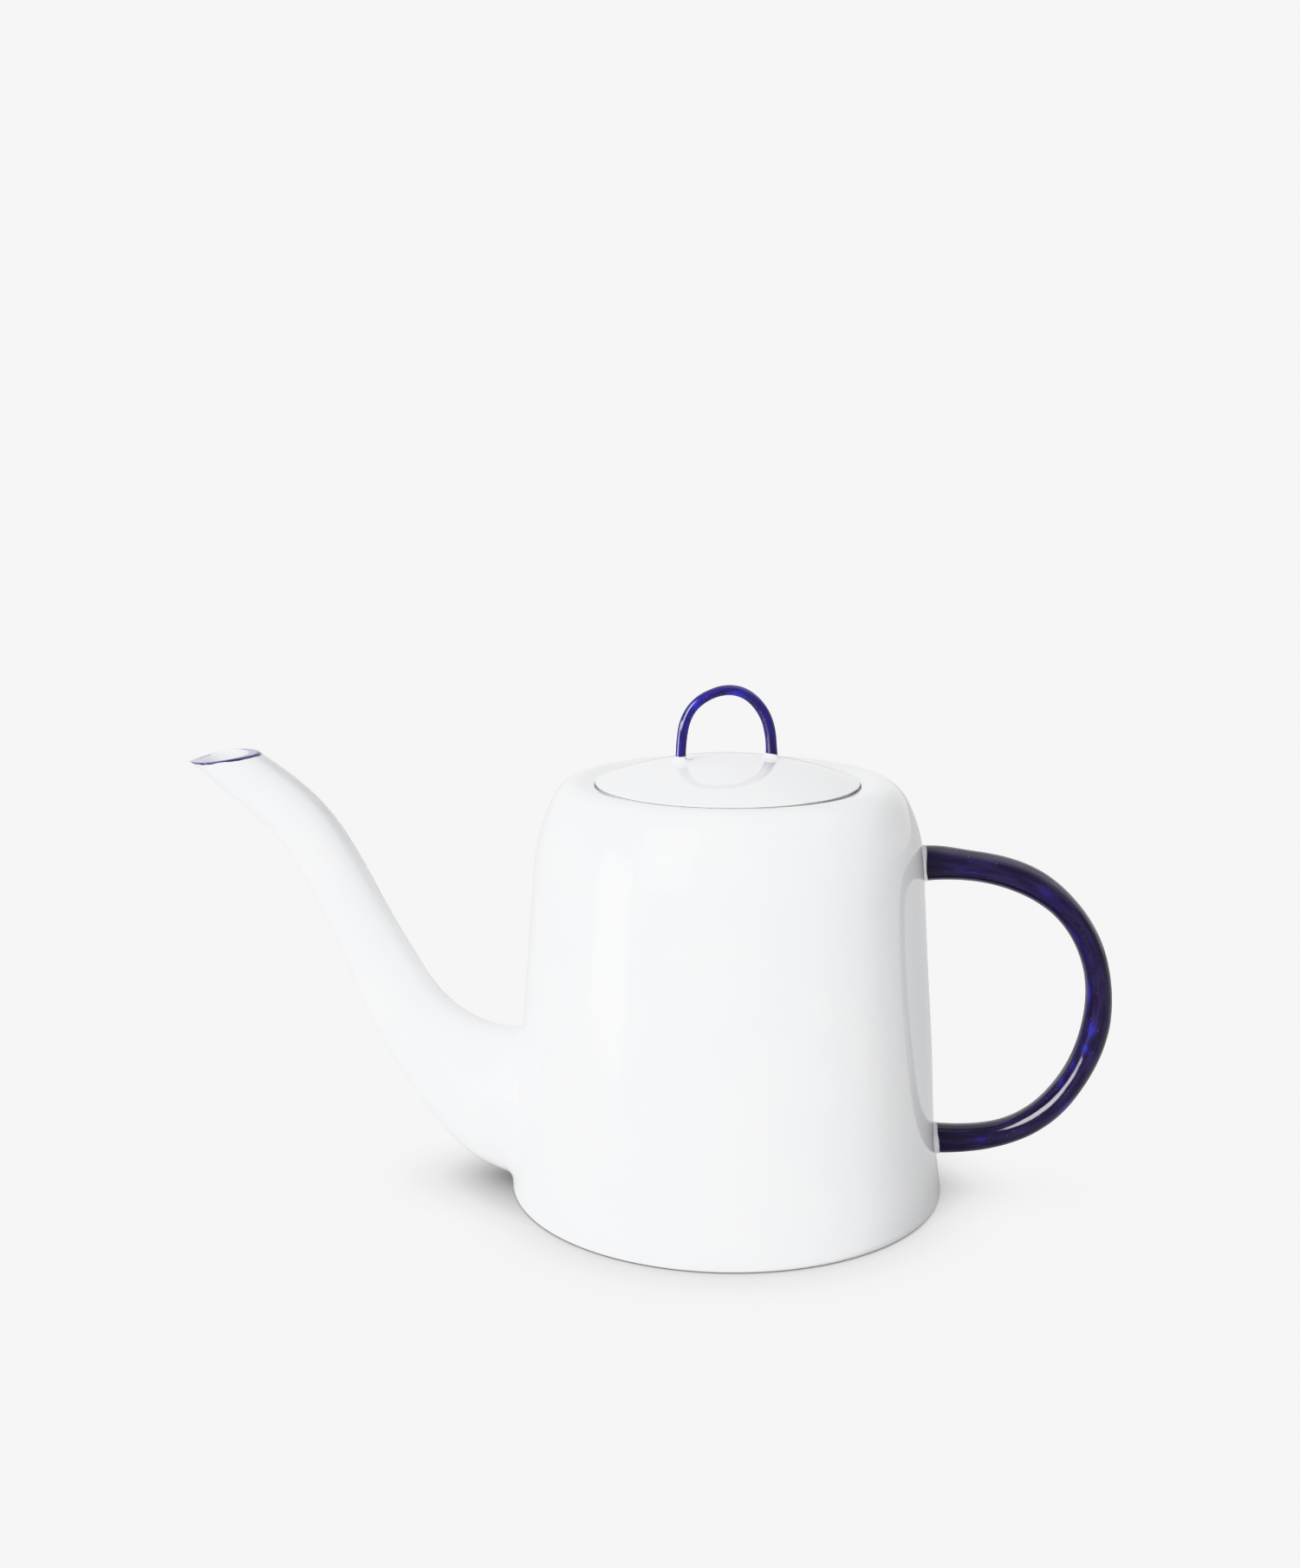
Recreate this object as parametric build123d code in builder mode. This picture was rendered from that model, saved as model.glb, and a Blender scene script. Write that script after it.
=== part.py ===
from build123d import *
import math
import os

# Porcelain teapot with a long watering-can spout, a round strap handle and a lift-off lid.
# Millimetres. Z up, the pot stands on z = 0 and its axis is the Z axis.
# The spout leaves towards -X and the handle towards +X.

# ---------------------------------------------------------------- driving dimensions
wall = 3.0                      # thickness of the thrown body
foot_radius = 62.3              # widest point, just above the table
foot_ring_width = 4.0           # the unglazed ring that the pot stands on
foot_bevel = 1.0                # the ring's outer edge is set in by this from the widest point
foot_recess = 1.8               # how far the underside is lifted inside that ring
floor_thickness = 3.4
floor_corner = 8.0              # inside radius between the floor and the wall
floor_corner_inset = 1.6        # the wall is this much thicker where that corner begins

# Outer wall of the body as (radius, height), from above the foot to the start of the shoulder.
wall_outline = [(62.3, 1.2), (60.4, 16), (59.1, 40), (57.4, 64), (55.5, 90)]
shoulder_outline = [(54.3, 101.5), (51.0, 112.3), (46.4, 118.6)]
wall_lean = (-0.16, 1)          # direction in which the wall leaves the foot
rim_lip = (39.6, 120.1)         # highest point of the rim around the lid

seat_radius = 38.0              # recess that the lid drops into
seat_height = 116.6             # ledge that carries the lid
throat_radius = 32.1            # the opening below the ledge
throat_height = 113.4
ledge_bevel = 0.8               # on both edges of the ledge, at the throat
under_ledge = (44.0, 113.1)     # where the inside of the shoulder meets the ledge's underside
lip_round = 1.6                 # rounding of the rim's inner edge

lid_radius = 37.2
lid_crown = 126.2               # top of the lid's low dome
lid_dome = (20.0, 124.15)       # a point halfway down the dome
lid_shoulder = (36.4, 119.25)   # where the dome turns over into the lid's edge
lid_shoulder_fall = (0.93, -0.37)
lid_edge_top = 118.0            # the edge is upright from here down
lid_edge_bevel = 0.5
lid_thickness = 3.0
lid_play = -0.4                 # the lid rests a little towards the spout inside its seat
lid_clearance = 0.2             # between the lid and the ledge
flange_radius = 31.2
flange_wall = 2.4
flange_bottom = 108.4
flange_round = 1.0
flange_fillet = (3.0, 1.9)      # how far the hollow under the dome curves in and up from the flange

loop_half_width = 12.7          # centre line of the lid's loop
loop_arch_height = 132.4        # height of the centre of its arch
loop_rod = 1.5                  # rod radius
loop_foot_height = 126.6        # where the rod ends in its luting
loop_turn = 18.0                # the loop's plane, turned about Z from the handle's plane
luting_flare = 2.4              # radius of the slip at the lid
luting_depth = 3.2              # length of a luting cone, part of it hidden in the lid
luting_proud = 0.1              # slip stands this proud of the rod or strap that it holds

handle_centre = (65.0, 55.8)    # centre of the handle's round sweep, in the XZ plane
handle_reach = 40.8             # radius of that sweep
handle_half_depth = 3.9         # half thickness in the sweep's plane
handle_half_width = 4.4         # half width across it
handle_collar = 1.7             # length of the white slip collars
collar_flare = 0.7              # how much wider a collar is at the body

# Spout stations from root to mouth:
# distance from the axis, height, direction of flow above horizontal, half height, half width.
spout_stations = [
    (54.0, 23.4, 4.0, 21.6, 17.6),
    (67.0, 26.4, 20.0, 18.6, 15.6),
    (80.0, 35.0, 37.4, 14.9, 12.8),
    (90.9, 47.3, 53.8, 11.4, 10.4),
    (98.0, 59.7, 62.0, 10.0, 9.6),
    (103.8, 71.8, 65.3, 9.0, 9.1),
    (109.5, 83.4, 64.4, 8.6, 9.0),
    (116.9, 97.8, 57.9, 8.2, 9.1),
    (126.3, 109.6, 45.6, 7.9, 9.2),
    (138.6, 119.1, 35.0, 7.7, 9.4),
    (148.6, 126.3, 34.0, 7.1, 9.6),
    (158.0, 132.6, 34.0, 6.6, 9.7),
]
spout_wall_root = 3.0
spout_wall_mouth = 1.5
mouth_centre = (145.0, 124.2)   # the spout's end is cut off by a plane through this point
mouth_tilt = 7.7                # degrees that this plane dips towards the spout's tip
mouth_round = 0.5

strainer_hole = 2.5             # radius of the holes behind the spout
strainer_circle = 9.0           # radius of the ring of holes
strainer_height = 22.0
strainer_ring_count = 6


# ---------------------------------------------------------------- helpers
def inset(points, depth):
    """Move each outline point inwards by depth, square to the outline there."""
    moved = []
    for i, (r, z) in enumerate(points):
        before = points[max(i - 1, 0)]
        after = points[min(i + 1, len(points) - 1)]
        run = math.hypot(after[0] - before[0], after[1] - before[1])
        moved.append((r - depth * (after[1] - before[1]) / run,
                      z + depth * (after[0] - before[0]) / run))
    return moved


def station_plane(distance, height, flow):
    """Plane square to the flow at one spout station, with its local X along world Y."""
    slope = math.radians(flow)
    return Plane(origin=(-distance, 0, height), x_dir=(0, 1, 0),
                 z_dir=(-math.cos(slope), 0, math.sin(slope)))


def sweep_angle(distance, side):
    """Angle on the handle's sweep, from +X, where it is this far from the pot's axis."""
    return side * math.acos((distance - handle_centre[0]) / handle_reach)


def handle_plane(angle):
    """Plane square to the handle's sweep at an angle, with its local X along world Y."""
    return Plane(
        origin=(handle_centre[0] + handle_reach * math.cos(angle), 0,
                handle_centre[1] + handle_reach * math.sin(angle)),
        x_dir=(0, 1, 0), z_dir=(-math.sin(angle), 0, math.cos(angle)))


def wall_radius(height):
    """Radius of the body's outer wall at a height, read along its outline."""
    for (r0, z0), (r1, z1) in zip(outer_points, outer_points[1:]):
        if z0 <= height <= z1:
            return r0 + (r1 - r0) * (height - z0) / (z1 - z0)
    raise ValueError("height is outside the wall")


def handle_start(side):
    """Distance from the axis where the blue part of the handle begins."""
    return wall_radius(handle_centre[1] + side * handle_reach) + handle_collar


def outer_wall():
    """Draws the foot's outer edge, the wall and the shoulder up to the rim in the current BuildLine."""
    Line((foot_outer, 0), outer_points[0])
    Spline(*outer_points, rim_lip, tangents=[wall_lean, (-1, 0)])


outer_points = wall_outline + shoulder_outline
foot_outer = foot_radius - foot_bevel
foot_inner = foot_outer - foot_ring_width
floor_level = foot_recess + floor_thickness
lid_rest = seat_height + lid_clearance
loop_angle = math.radians(loop_turn)
loop_plane = Plane(origin=(lid_play, 0, 0), x_dir=(math.cos(loop_angle), math.sin(loop_angle), 0),
                   z_dir=(math.sin(loop_angle), -math.cos(loop_angle), 0))
os.makedirs("parts", exist_ok=True)

# ---------------------------------------------------------------- filled outer form of the body
# Not a piece: it trims the spout, the handle and their luting to the body's outer surface.
with BuildPart() as body_form:
    with BuildSketch(Plane.XZ):
        with BuildLine():
            Line((0, 0), (foot_outer, 0))
            outer_wall()
            Polyline(rim_lip, (0, rim_lip[1]), (0, 0))
        make_face()
    revolve(axis=Axis.Z)

# ---------------------------------------------------------------- pot body
inner_points = inset(outer_points, wall)[1:-1]
corner_top = (foot_radius - wall - floor_corner_inset, floor_level + floor_corner)
ledge_end = (seat_radius - 1, throat_height)
with BuildPart() as pot_body:
    with BuildSketch(Plane.XZ):
        with BuildLine():
            Line((foot_inner, 0), (foot_outer, 0))
            outer_wall()
            lip = RadiusArc(rim_lip, (seat_radius, rim_lip[1] - lip_round), -lip_round)
            Polyline(lip @ 1, (seat_radius, seat_height),
                     (throat_radius + ledge_bevel, seat_height),
                     (throat_radius, seat_height - ledge_bevel),
                     (throat_radius, throat_height + ledge_bevel),
                     (throat_radius + ledge_bevel, throat_height), ledge_end)
            Spline(ledge_end, under_ledge, *reversed(inner_points), corner_top)
            corner = RadiusArc(corner_top, (corner_top[0] - floor_corner, floor_level),
                               floor_corner)
            Polyline(corner @ 1, (0, floor_level), (0, foot_recess),
                     (foot_inner - foot_recess, foot_recess), (foot_inner, 0))
        make_face()
    revolve(axis=Axis.Z)
    with BuildSketch(Plane.YZ.offset(-2 * foot_radius)):
        with Locations((0, strainer_height)):
            Circle(strainer_hole)
            with PolarLocations(strainer_circle, strainer_ring_count):
                Circle(strainer_hole)
    extrude(amount=1.5 * foot_radius, mode=Mode.SUBTRACT)
pot_body.part.label = "pot_body"
export_step(pot_body.part, "parts/pot_body.step")

# ---------------------------------------------------------------- spout
with BuildPart() as spout:
    for distance, height, flow, half_height, half_width in spout_stations:
        with BuildSketch(station_plane(distance, height, flow)):
            Ellipse(half_width, half_height)
    loft()
    for i, (distance, height, flow, half_height, half_width) in enumerate(spout_stations):
        share = i / (len(spout_stations) - 1)
        thickness = spout_wall_root + (spout_wall_mouth - spout_wall_root) * share
        with BuildSketch(station_plane(distance, height, flow)):
            Ellipse(half_width - thickness, half_height - thickness)
    loft(mode=Mode.SUBTRACT)
    split(bisect_by=station_plane(*mouth_centre, 90 - mouth_tilt), keep=Keep.BOTTOM)
    mouth_face = spout.faces().filter_by(GeomType.PLANE).sort_by(Axis.Z)[-1]
    fillet(mouth_face.edges(), mouth_round)
    add(body_form.part, mode=Mode.SUBTRACT)
spout.part.label = "spout"
export_step(spout.part, "parts/spout.step")

# ---------------------------------------------------------------- handle and its collars
def collar(side):
    """White slip collar between the body and one end of the handle."""
    hidden_end = sweep_angle(foot_radius - 3 * wall, side)
    collar_end = sweep_angle(handle_start(side), side)
    with BuildPart() as piece:
        with BuildSketch(handle_plane(hidden_end)):
            Ellipse(handle_half_width + collar_flare, handle_half_depth + collar_flare)
        with BuildSketch(handle_plane(collar_end)):
            Ellipse(handle_half_width + luting_proud, handle_half_depth + luting_proud)
        loft(ruled=True)
        add(body_form.part, mode=Mode.SUBTRACT)
    return piece


upper_angle = sweep_angle(handle_start(1), 1)
lower_angle = sweep_angle(handle_start(-1), -1)
with BuildPart() as handle:
    with BuildLine():
        sweep_path = ThreePointArc(handle_plane(lower_angle).origin, handle_plane(0).origin,
                                   handle_plane(upper_angle).origin)
    with BuildSketch(handle_plane(lower_angle)):
        Ellipse(handle_half_width, handle_half_depth)
    sweep(path=sweep_path)
handle.part.label = "handle"
export_step(handle.part, "parts/handle.step")

for label, side in [("handle_upper_luting", 1), ("handle_lower_luting", -1)]:
    luting = collar(side)
    luting.part.label = label
    export_step(luting.part, f"parts/{label}.step")

# ---------------------------------------------------------------- lid
flange_inner = flange_radius - flange_wall
dome_inside = lid_crown - lid_thickness
with BuildPart() as lid:
    with BuildSketch(Plane.XZ.shift_origin((lid_play, 0, 0))):
        with BuildLine():
            Spline((0, lid_crown), lid_dome, lid_shoulder, tangents=[(1, 0), lid_shoulder_fall])
            Spline(lid_shoulder, (lid_radius, lid_edge_top), tangents=[lid_shoulder_fall, (0, -1)])
            Polyline((lid_radius, lid_edge_top), (lid_radius, lid_rest + lid_edge_bevel),
                     (lid_radius - lid_edge_bevel, lid_rest), (flange_radius, lid_rest),
                     (flange_radius, flange_bottom + flange_round))
            ThreePointArc((flange_radius, flange_bottom + flange_round),
                          (flange_radius - flange_wall / 2, flange_bottom),
                          (flange_inner, flange_bottom + flange_round))
            Line((flange_inner, flange_bottom + flange_round), (flange_inner, lid_rest))
            Spline((flange_inner, lid_rest),
                   (flange_inner - flange_fillet[0], lid_rest + flange_fillet[1]),
                   (0, dome_inside), tangents=[(0, 1), (-1, 0)])
            Line((0, dome_inside), (0, lid_crown))
        make_face()
    revolve(axis=Axis((lid_play, 0, 0), (0, 0, 1)))
lid.part.label = "lid"
export_step(lid.part, "parts/lid.step")

# ---------------------------------------------------------------- loop on the lid
with BuildPart() as lid_loop:
    with BuildLine(loop_plane) as loop_line:
        left_leg = Line((-loop_half_width, loop_foot_height), (-loop_half_width, loop_arch_height))
        arch = ThreePointArc((-loop_half_width, loop_arch_height),
                             (0, loop_arch_height + loop_half_width),
                             (loop_half_width, loop_arch_height))
        Line((loop_half_width, loop_arch_height), (loop_half_width, loop_foot_height))
    with BuildSketch(Plane(origin=left_leg @ 0, z_dir=(0, 0, 1))):
        Circle(loop_rod)
    sweep(path=loop_line.wires()[0])
lid_loop.part.label = "lid_loop"
export_step(lid_loop.part, "parts/lid_loop.step")

for label, side in [("loop_luting_spout_side", -1), ("loop_luting_handle_side", 1)]:
    foot = loop_plane.from_local_coords(Vector(side * loop_half_width, loop_foot_height, 0))
    foot_plane = Plane(origin=foot, z_dir=(0, 0, -1))
    with BuildPart() as luting:
        with BuildSketch(foot_plane):
            Circle(loop_rod + luting_proud)
        with BuildSketch(foot_plane.offset(luting_depth)):
            Circle(luting_flare)
        loft(ruled=True)
        add(lid.part, mode=Mode.SUBTRACT)
    luting.part.label = label
    export_step(luting.part, f"parts/{label}.step")
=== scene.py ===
import math

import bmesh
import bpy
import numpy as np
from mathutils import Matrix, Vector, noise


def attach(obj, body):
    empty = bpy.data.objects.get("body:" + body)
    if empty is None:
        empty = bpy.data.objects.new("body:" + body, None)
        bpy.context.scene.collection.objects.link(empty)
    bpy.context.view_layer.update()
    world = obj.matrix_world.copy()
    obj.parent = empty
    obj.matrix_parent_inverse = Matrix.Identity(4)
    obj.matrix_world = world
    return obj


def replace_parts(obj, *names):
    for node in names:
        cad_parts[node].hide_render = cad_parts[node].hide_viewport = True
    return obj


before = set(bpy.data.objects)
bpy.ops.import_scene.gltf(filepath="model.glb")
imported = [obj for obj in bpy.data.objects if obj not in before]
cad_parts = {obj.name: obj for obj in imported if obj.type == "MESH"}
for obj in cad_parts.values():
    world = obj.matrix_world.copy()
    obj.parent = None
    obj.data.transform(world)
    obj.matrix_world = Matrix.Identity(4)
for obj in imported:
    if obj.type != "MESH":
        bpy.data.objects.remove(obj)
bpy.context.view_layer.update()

# ---------------------------------------------------------------- driving dimensions, in millimetres
# The frame is the CAD model's: Z is the pot's axis, X points to the handle and -X to the spout. The
# sizes are close to the CAD model's too, with the unevenness of handwork added.
MM = 0.001
WALL = 3.0
FOOT_INNER = 57.3               # the flat ring that the pot stands on
FOOT_OUTER = 61.3
FOOT_RECESS = 1.8
FLOOR_LEVEL = 5.2
FLOOR_CORNER = 8.0
# radius and height, from the foot up the wall, over the shoulder and the crest of the rim
OUTER_WALL = [(62.3, 1.2), (60.4, 16), (59.1, 40), (57.4, 64), (55.5, 90),
              (54.3, 101.5), (51.0, 112.3), (46.4, 118.5), (42.8, 119.62), (39.0, 118.92)]
RIM_TOP = 118.87                # the rim's inner edge
LIP_ROUND = 0.7
SEAT_RADIUS = 37.42             # the recess that the lid drops into
SEAT_SHIFT = -0.35              # the opening was turned a little towards the spout
SEAT_HEIGHT = 116.6
SEAT_ROUND = 0.4
THROAT_RADIUS = 32.1
THROAT_HEIGHT = 113.4
THROAT_ROUND = 0.8
INSIDE_TOP = 109                # the inside follows the outer wall up to this height

LID_RADIUS = 37.2
LID_CROWN = 126.0
LID_FALL = (0.00474, 1.3e-7)    # the dome falls by these times the second and fourth power of the radius
LID_THICKNESS = 3.0
LID_TURN_OVER = 36.7            # radius at which the dome bends into the edge
LID_EDGE_SWELL = 37.05          # radius towards which that bend leaves the dome
LID_EDGE_TOP = 118.95
LID_TUCK = 0.6                  # the edge is tucked in and down by this
LID_HOLLOW = 24.0               # radius of the hollow under the dome
LID_FILLET = 27.2               # radius towards which the flange curves into that hollow
LID_PLAY = -0.4                 # the lid rests a little towards the spout inside its seat
LID_REST = 116.8
LID_REST_ROUND = 0.5
FLANGE_RADIUS = 31.2
FLANGE_WALL = 2.4
FLANGE_BOTTOM = 108.4

# centre line of the lid's loop in its own plane, from the spout-side foot over the arch, and the
# radius of the rod at each of its points
LOOP_LINE = [(-13.7, 126.0), (-13.5, 129.4), (-13.2, 132.8), (-12.1, 137.3), (-9.6, 141.1), (-5.2, 143.9),
             (0.3, 145.0), (5.0, 143.8), (8.7, 140.8), (11.4, 136.4), (12.6, 131.6), (13.0, 126.0)]
LOOP_RODS = [1.48, 1.5, 1.52, 1.52, 1.48, 1.45, 1.5, 1.55, 1.62, 1.66, 1.64, 1.72]
LOOP_TURN = math.radians(18)    # the loop's plane, turned about Z from the handle's plane
LOOP_FEET = [(-13.65, 1.9), (12.95, 1.45)]     # place in that plane and height of each white foot
LOOP_FOOT_SPREAD = 3.7          # radius of a foot where it meets the lid
LOOP_FOOT_PROUD = 0.12          # a foot's top stands this proud of the rod

# the handle's sweep: angle from +X in degrees, distance from its centre, half depth, half width
HANDLE_CENTRE = (65.0, 55.8)
HANDLE_SWEEP = [
    (-108, 41.9, 4.45, 4.4), (-85, 41.0, 4.1, 4.4), (-66, 41.6, 3.75, 4.3), (-50, 41.6, 3.9, 4.4),
    (-32, 40.8, 3.8, 4.5), (-14, 40.55, 4.0, 4.5), (6, 40.7, 3.7, 4.4), (28, 41.2, 3.65, 4.3),
    (45, 41.2, 3.8, 4.4), (61, 40.85, 4.3, 4.5), (75, 40.3, 4.35, 4.5), (89, 40.35, 4.45, 4.5),
    (98, 41.2, 4.95, 4.6), (112, 42.3, 5.1, 4.6),
]
# brighter blue patches on the handle, part glaze pooling and part painted highlight: angle of the sweep,
# turn about the strap (180 its inner side, 270 its near side), length and width in millimetres, strength
HANDLE_POOLS_AND_HIGHLIGHTS = [
    (-9, 245, 5, 1.6, 1.0), (-18, 250, 2.4, 2.0, 1.0), (-36, 225, 3, 1.8, 0.8), (-42, 300, 6, 1.6, 0.6),
    (6, 215, 8, 1.8, 0.7), (30, 235, 14, 1.8, 0.35), (52, 262, 9, 1.6, 0.5), (-78, 270, 3, 1.4, 0.6),
    (85, 255, 9, 1.4, 0.3), (20, 95, 9, 2.2, 0.5), (-25, 110, 6, 2.0, 0.8), (66, 80, 7, 2.0, 0.4),
]
HANDLE_COLLAR = 1.15            # length of the white slip between body and glaze
COLLAR_FLARE = 0.75             # how far it spreads onto the body
COLLAR_PROUD = 0.13             # how far it stands proud of the handle
COLLAR_WAVE = 0.4               # how far its outer edge wanders

# distance from the axis, height, flow above horizontal in degrees, half height, half width
SPOUT_STATIONS = [
    (54.0, 22.9, 4.0, 23.2, 18.2),
    (67.2, 25.9, 20.0, 20.2, 16.4),
    (80.0, 35.0, 37.4, 14.9, 12.8),
    (90.9, 47.3, 53.8, 11.4, 10.4),
    (98.0, 59.7, 62.0, 10.0, 9.6),
    (103.8, 71.8, 65.3, 9.0, 9.1),
    (109.5, 83.4, 64.4, 8.6, 9.0),
    (117.1, 97.7, 57.9, 8.4, 9.1),
    (126.3, 109.6, 45.6, 7.9, 9.2),
    (138.4, 119.4, 35.0, 7.3, 9.4),
    (148.4, 126.6, 34.0, 6.7, 9.6),
    (157.8, 132.9, 34.0, 6.3, 9.7),
]
SPOUT_WALL_ROOT = 3.0
SPOUT_WALL_MOUTH = 1.6
BEAK_WALL = 0.9                 # how much thicker the wall is under the beak
SPOUT_FILLET = (1.8, 7.0)       # at the spout's top and bottom, and at its sides
MOUTH_CENTRE = (144.8, 124.5)
MOUTH_HALF = 10.6               # half the mouth's length, from its beak to its back
MOUTH_TILT = math.radians(7.5)  # the mouth's plane rises towards the body
MOUTH_ROLL = math.radians(1.8)  # and towards the far side
MOUTH_BULGE = 0.42              # the cut stands this much proud of a plane in its middle
MOUTH_PINCH = (0.5, 0.0)        # how much the mouth narrows towards its beak and towards its back
LIP_BEND = 0.32                 # length of wall that the rounding of the mouth's lip takes
# how heavily the lip is painted, by the turn about the spout in degrees: 0 at the back of the mouth,
# 90 on its far side, 180 at the beak, 270 on its near side
BRUSH_LOAD = [(0, 0.8), (40, 0.55), (75, 0.32), (105, 0.22), (135, 0.4), (158, 0.75), (180, 0.8),
              (205, 0.9), (226, 1.0), (262, 1.0), (278, 0.7), (292, 0.85), (315, 1.0), (338, 0.85),
              (360, 0.8)]
STRAINER_RADIUS = 2.5
STRAINER_CIRCLE = 9.0
STRAINER_HEIGHT = 22.0
STRAINER_RING = 6
STRAINER_REACH = (-70, -50)     # the cutter's two ends, outside and inside the wall

UNEVEN_SIZE = 34.0              # the thrown wall wanders this gently
UNEVEN_DEPTH = 0.22
SHOULDER_LEAN = 0.35            # the shoulder leans a little towards the handle
SAME_POINT = 0.02               # points of an outline closer than this are one


# ---------------------------------------------------------------- curves
def natural_spline(knots, values, at):
    """Natural cubic spline through values (rows) at knots, read at the numbers in at."""
    knots, values, at = np.array(knots, float), np.array(values, float), np.array(at, float)
    if values.ndim == 1:
        return natural_spline(knots, values[:, None], at)[:, 0]
    n = len(knots)
    gaps = np.diff(knots)
    system = np.eye(n)
    target = np.zeros_like(values)
    for i in range(1, n - 1):
        system[i, i - 1:i + 2] = gaps[i - 1], 2 * (gaps[i - 1] + gaps[i]), gaps[i]
        rise = (values[i + 1] - values[i]) / gaps[i] - (values[i] - values[i - 1]) / gaps[i - 1]
        target[i] = 6 * rise
    bend = np.linalg.solve(system, target)
    k = np.clip(np.searchsorted(knots, at, side="right") - 1, 0, n - 2)
    h = gaps[k][:, None]
    left = (knots[k + 1] - at)[:, None]
    right = (at - knots[k])[:, None]
    return ((bend[k] * left ** 3 + bend[k + 1] * right ** 3) / (6 * h)
            + (values[k] / h - bend[k] * h / 6) * left
            + (values[k + 1] / h - bend[k + 1] * h / 6) * right)


def smooth_run(points, step):
    """Points about a step apart on a smooth curve through the given points."""
    points = np.array(points, float)
    chord = np.concatenate([[0], np.cumsum(np.linalg.norm(np.diff(points, axis=0), axis=1))])
    count = max(int(chord[-1] / step), 2)
    return natural_spline(chord, points, np.linspace(0, chord[-1], count + 1))


def straight_run(start, end, step):
    start, end = np.array(start, float), np.array(end, float)
    count = max(int(np.linalg.norm(end - start) / step), 1)
    share = np.linspace(0, 1, count + 1)[:, None]
    return start + (end - start) * share


def arc_run(centre, radius, start, end, count=6):
    """Points on an arc, angles in degrees."""
    angles = np.radians(np.linspace(start, end, count + 1))
    return np.stack([centre[0] + radius * np.cos(angles), centre[1] + radius * np.sin(angles)], 1)


def joined(*runs):
    """One outline from several runs, without the repeated points where they meet."""
    points = [np.array(runs[0][0], float)]
    for run in runs:
        for p in run:
            if np.linalg.norm(p - points[-1]) > SAME_POINT:
                points.append(np.array(p, float))
    return np.array(points)


def bezier(a, b, c, d, count):
    """Points of cubic curves from rows a to rows d, one list of rows for each step, ends included."""
    steps = []
    for s in np.linspace(0, 1, count + 1):
        steps.append(a * (1 - s) ** 3 + 3 * b * s * (1 - s) ** 2 + 3 * c * s * s * (1 - s) + d * s ** 3)
    return steps


def full_turn(count):
    """Angles evenly spaced round a circle."""
    return np.linspace(0, 2 * math.pi, count, endpoint=False)


def smoothstep(low, high, x):
    share = np.clip((x - low) / (high - low), 0, 1)
    return share * share * (3 - 2 * share)


WALL_RUN = smooth_run(OUTER_WALL, 0.5)
RISING_RUN = WALL_RUN[:np.argmax(WALL_RUN[:, 1]) + 1]       # its part below the crest of the rim


def wall_radius(height):
    """Outer radius of the body at each height, up to the crest of the rim."""
    return np.interp(height, RISING_RUN[:, 1], RISING_RUN[:, 0])


def ripple(points, size, seed):
    """Smooth noise between about -1 and 1 at each point, its swells about a size apart."""
    shift = Vector((seed * 7.3, seed * 3.1, seed * 5.7))
    return np.array([noise.noise(Vector(p) / size + shift) for p in points])


def thrown(points, near_wall=1.0):
    """The same points moved in and out a little, as a hand-thrown wall wanders about its true circle."""
    points = np.array(points, float)
    across = np.linalg.norm(points[:, :2], axis=1)
    height = points[:, 2]
    above_foot, below_rim = smoothstep(0.5, 9, height), 1 - smoothstep(104, 115, height)
    on_shoulder = smoothstep(88, 108, height) * (1 - smoothstep(114, 119, height))
    outside_throat = smoothstep(33, 45, across)
    in_seat = smoothstep(107, 111, height) * (1 - smoothstep(39, 45, across))
    depth = UNEVEN_DEPTH * ripple(points * (1, 1, 0.6), UNEVEN_SIZE, 1)
    depth = depth * above_foot * below_rim
    lean = SHOULDER_LEAN * on_shoulder
    depth = (depth + lean * points[:, 0] / np.maximum(across, 1)) * outside_throat * near_wall
    points[:, :2] *= (1 + depth / np.maximum(across, 1))[:, None]
    points[:, 0] += SEAT_SHIFT * in_seat
    return points


# ---------------------------------------------------------------- meshes
def new_piece(name, vertices, faces, body, slot, material, **attributes):
    """A smooth mesh object from vertices in millimetres, riding on a CAD body, with point attributes."""
    mesh = bpy.data.meshes.new(name)
    mesh.from_pydata([tuple(v) for v in np.array(vertices) * MM], [], faces)
    for key, values in attributes.items():
        layer = mesh.attributes.new(key, "FLOAT_VECTOR", "POINT")
        layer.data.foreach_set("vector", np.array(values, np.float32).ravel())
    bm = bmesh.new()
    bm.from_mesh(mesh)
    bmesh.ops.recalc_face_normals(bm, faces=bm.faces)
    for face in bm.faces:
        face.smooth = True
    bm.to_mesh(mesh)
    bm.free()
    piece = bpy.data.objects.new(name, mesh)
    bpy.context.scene.collection.objects.link(piece)
    mesh.materials.append(material)
    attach(piece, body)
    return piece


def lathe(outline, segments):
    """Vertices and faces of an outline (radius, height) turned about Z. Its ends lie on the axis."""
    vertices, rings = [], []
    for radius, height in outline:
        if radius < 1e-6:
            rings.append([len(vertices)] * segments)
            vertices.append((0, 0, height))
            continue
        rings.append(list(range(len(vertices), len(vertices) + segments)))
        for k in range(segments):
            turn = 2 * math.pi * k / segments
            vertices.append((radius * math.cos(turn), radius * math.sin(turn), height))
    faces = []
    for low, high in zip(rings, rings[1:]):
        for k in range(segments):
            m = (k + 1) % segments
            corners = [low[k], low[m], high[m], high[k]]
            faces.append(list(dict.fromkeys(corners)))
    return np.array(vertices), faces


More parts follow.
